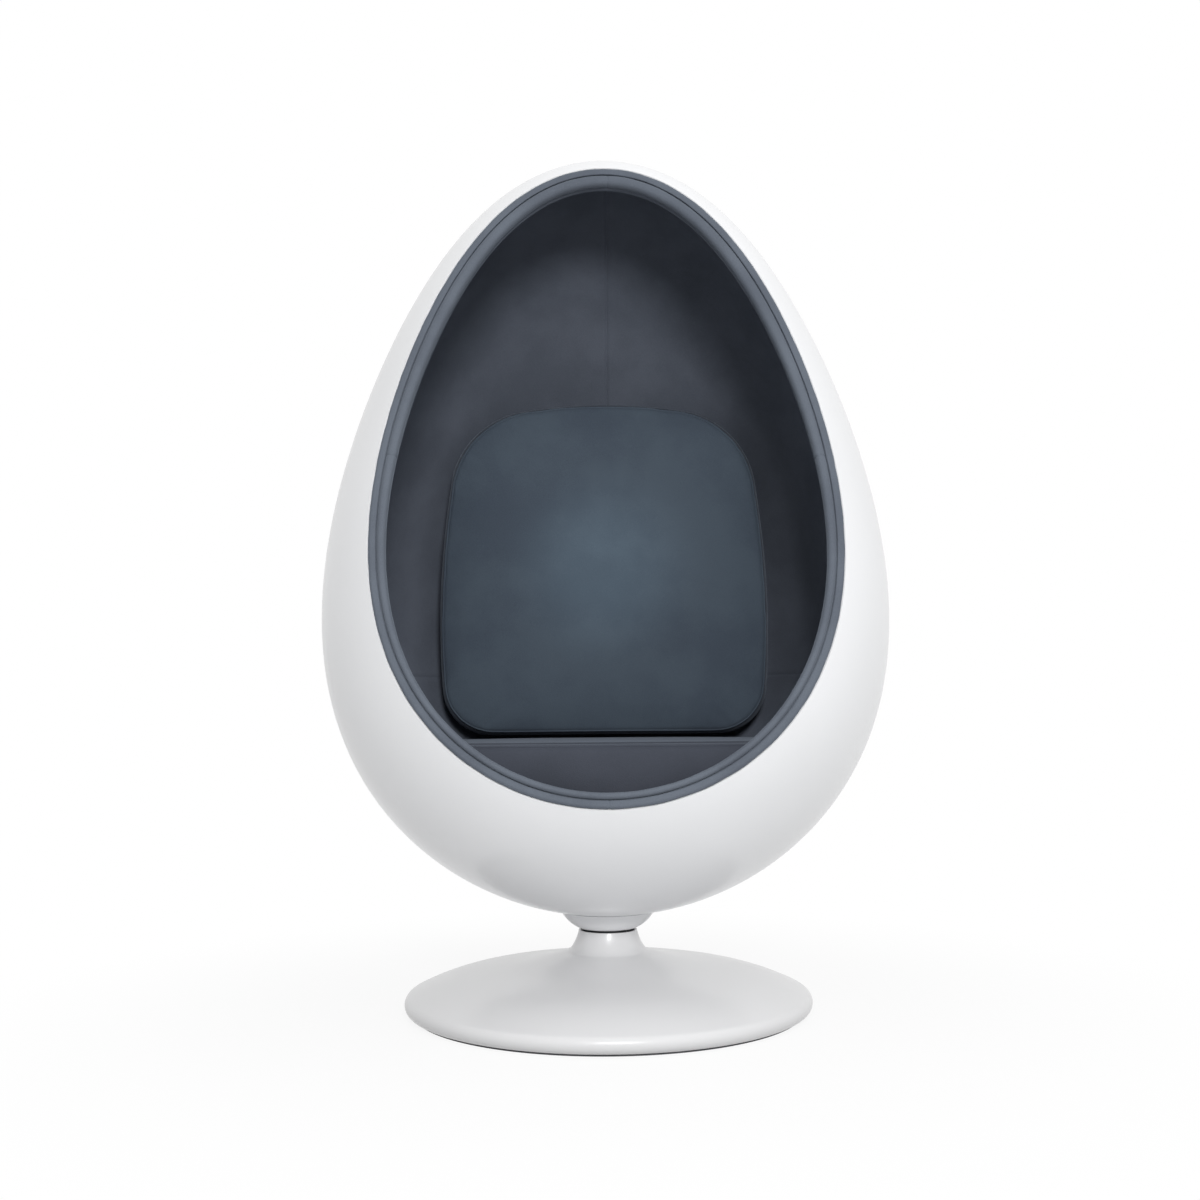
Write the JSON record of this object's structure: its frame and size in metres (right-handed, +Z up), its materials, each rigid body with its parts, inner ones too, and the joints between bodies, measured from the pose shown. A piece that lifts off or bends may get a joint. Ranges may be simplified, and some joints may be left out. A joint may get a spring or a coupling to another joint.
{
  "type": "pod chair",
  "caption": "Swivelling egg-shaped lounge pod with a fabric-lined hollow, padded rim, loose seat and back cushions, and a round trumpet pedestal.",
  "frame": {"origin": "centre of the pedestal's underside on the floor, on the swivel axis", "axes": "+Z up along the swivel axis, the pod's opening faces -Y at rest, +X across the pod"},
  "size_m": [0.8799, 0.7995, 1.332],
  "materials": {
    "gloss_white": "polished gel coat on glass fibre",
    "steel": "black powder coat",
    "zinc_steel": "zinc plated",
    "bronze": "machined",
    "nylon": "moulded",
    "felt": "dense felt",
    "foam": "open foam",
    "trim_fabric": "short brushed pile, stretched",
    "lining_fabric": "short brushed pile",
    "cushion_fabric": "short brushed pile",
    "plywood": "bare birch plywood and timber"
  },
  "bodies": {
    "pedestal": {"floor_pad": "felt", "base_plate": "steel", "base_screws": "zinc_steel", "pedestal_shell": "gloss_white", "column": "steel", "column_bolts": "zinc_steel", "column_nuts": "zinc_steel", "neck_spacer": "nylon", "spindle": "steel", "thrust_race_lower": "zinc_steel", "thrust_cage": "bronze", "thrust_balls": "zinc_steel", "spindle_washer": "zinc_steel", "spindle_nut": "zinc_steel"},
    "pod": {"thrust_race_upper": "zinc_steel", "bearing_hub": "steel", "lower_bush": "bronze", "upper_bush": "bronze", "hub_cap": "nylon", "hub_bolts": "zinc_steel", "hub_washers": "zinc_steel", "mounting_plate": "steel", "collar": "gloss_white", "pod_shell": "gloss_white", "edge_band": "trim_fabric", "rim_roll": "trim_fabric", "rim_bolster": "foam", "lining_foam_left": "foam", "lining_foam_right": "foam", "lining_cover_left": "lining_fabric", "lining_cover_right": "lining_fabric", "lining_cover_lower": "lining_fabric", "seat_deck": "plywood", "deck_blocks": "plywood", "deck_screws": "zinc_steel", "seat_cushion_cover": "cushion_fabric", "seat_cushion_core": "foam", "back_cushion_cover": "cushion_fabric", "back_cushion_core": "foam"}
  },
  "joints": [
    {"name": "pod_swivel", "type": "hinge", "parent": "pedestal", "child": "pod", "pos_m": [0, 0, 0.123], "axis": [0, 0, 1], "continuous": true}
  ]
}
